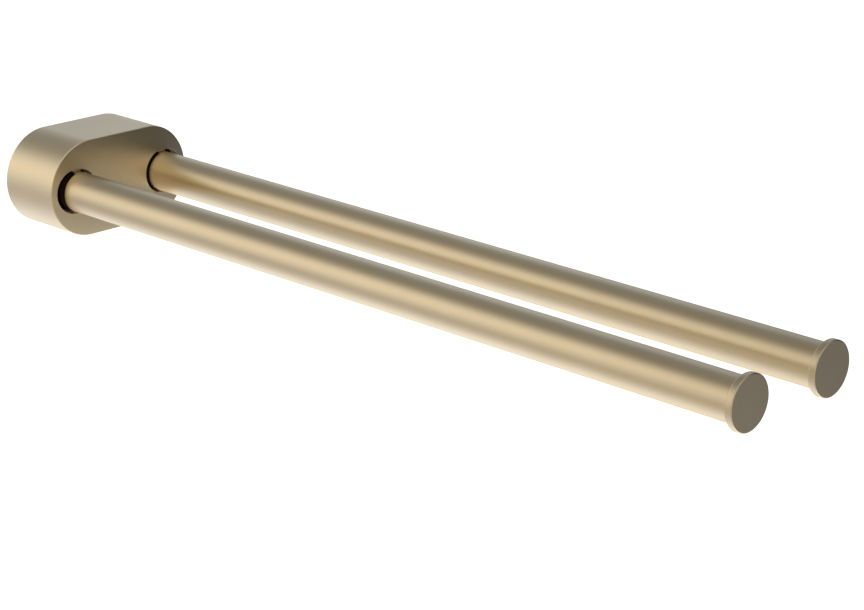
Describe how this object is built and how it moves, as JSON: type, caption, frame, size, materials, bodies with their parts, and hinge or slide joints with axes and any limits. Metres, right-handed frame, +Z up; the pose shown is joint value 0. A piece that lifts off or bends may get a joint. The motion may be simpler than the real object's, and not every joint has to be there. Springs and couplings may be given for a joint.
{
  "type": "swing arm towel bar",
  "caption": "Wall towel bar: a racetrack-shaped block carries parallel round arms with button ends, each of which swings outward on a hidden upright pivot inside the block.",
  "frame": {"origin": "on the wall plane, at the middle of the block's back", "axes": "+Y into the wall, so the arms point along -Y; +Z up; +X to the right seen from the front"},
  "size_m": [0.0864, 0.45, 0.049],
  "materials": {
    "satin_gold": "satin, fine brushed champagne gold",
    "zinc_steel": "zinc plated",
    "dark_steel": "plain steel",
    "black_coated_steel": "matt black coated",
    "black_nylon": "moulded",
    "bronze_acetal": "moulded, bronze",
    "gasket_rubber": "matt"
  },
  "bodies": {
    "block": {"wall_gasket": "gasket_rubber", "wall_plate": "zinc_steel", "cover": "satin_gold", "cover_set_screws": "dark_steel", "pivot_bracket": "zinc_steel", "bracket_screws": "dark_steel", "left_slot_liner": "bronze_acetal", "right_slot_liner": "bronze_acetal", "left_pivot_bolt": "zinc_steel", "right_pivot_bolt": "zinc_steel", "left_lock_nut": "dark_steel", "right_lock_nut": "dark_steel", "left_thrust_washer": "zinc_steel", "right_thrust_washer": "zinc_steel", "left_disc_spring": "dark_steel", "right_disc_spring": "dark_steel"},
    "left_arm": {"left_tube": "satin_gold", "left_end_cap": "satin_gold", "left_knuckle": "black_coated_steel", "left_upper_bushing": "black_nylon", "left_lower_bushing": "black_nylon"},
    "right_arm": {"right_tube": "satin_gold", "right_end_cap": "satin_gold", "right_knuckle": "black_coated_steel", "right_upper_bushing": "black_nylon", "right_lower_bushing": "black_nylon"}
  },
  "joints": [
    {"name": "left_arm_swing", "type": "hinge", "parent": "block", "child": "left_arm", "pos_m": [-0.0275, -0.0265, 0], "axis": [0, 0, 1], "range_deg": [-11, 1.5]},
    {"name": "right_arm_swing", "type": "hinge", "parent": "block", "child": "right_arm", "pos_m": [0.0275, -0.0265, 0], "axis": [0, 0, 1], "range_deg": [-1.5, 11]}
  ]
}
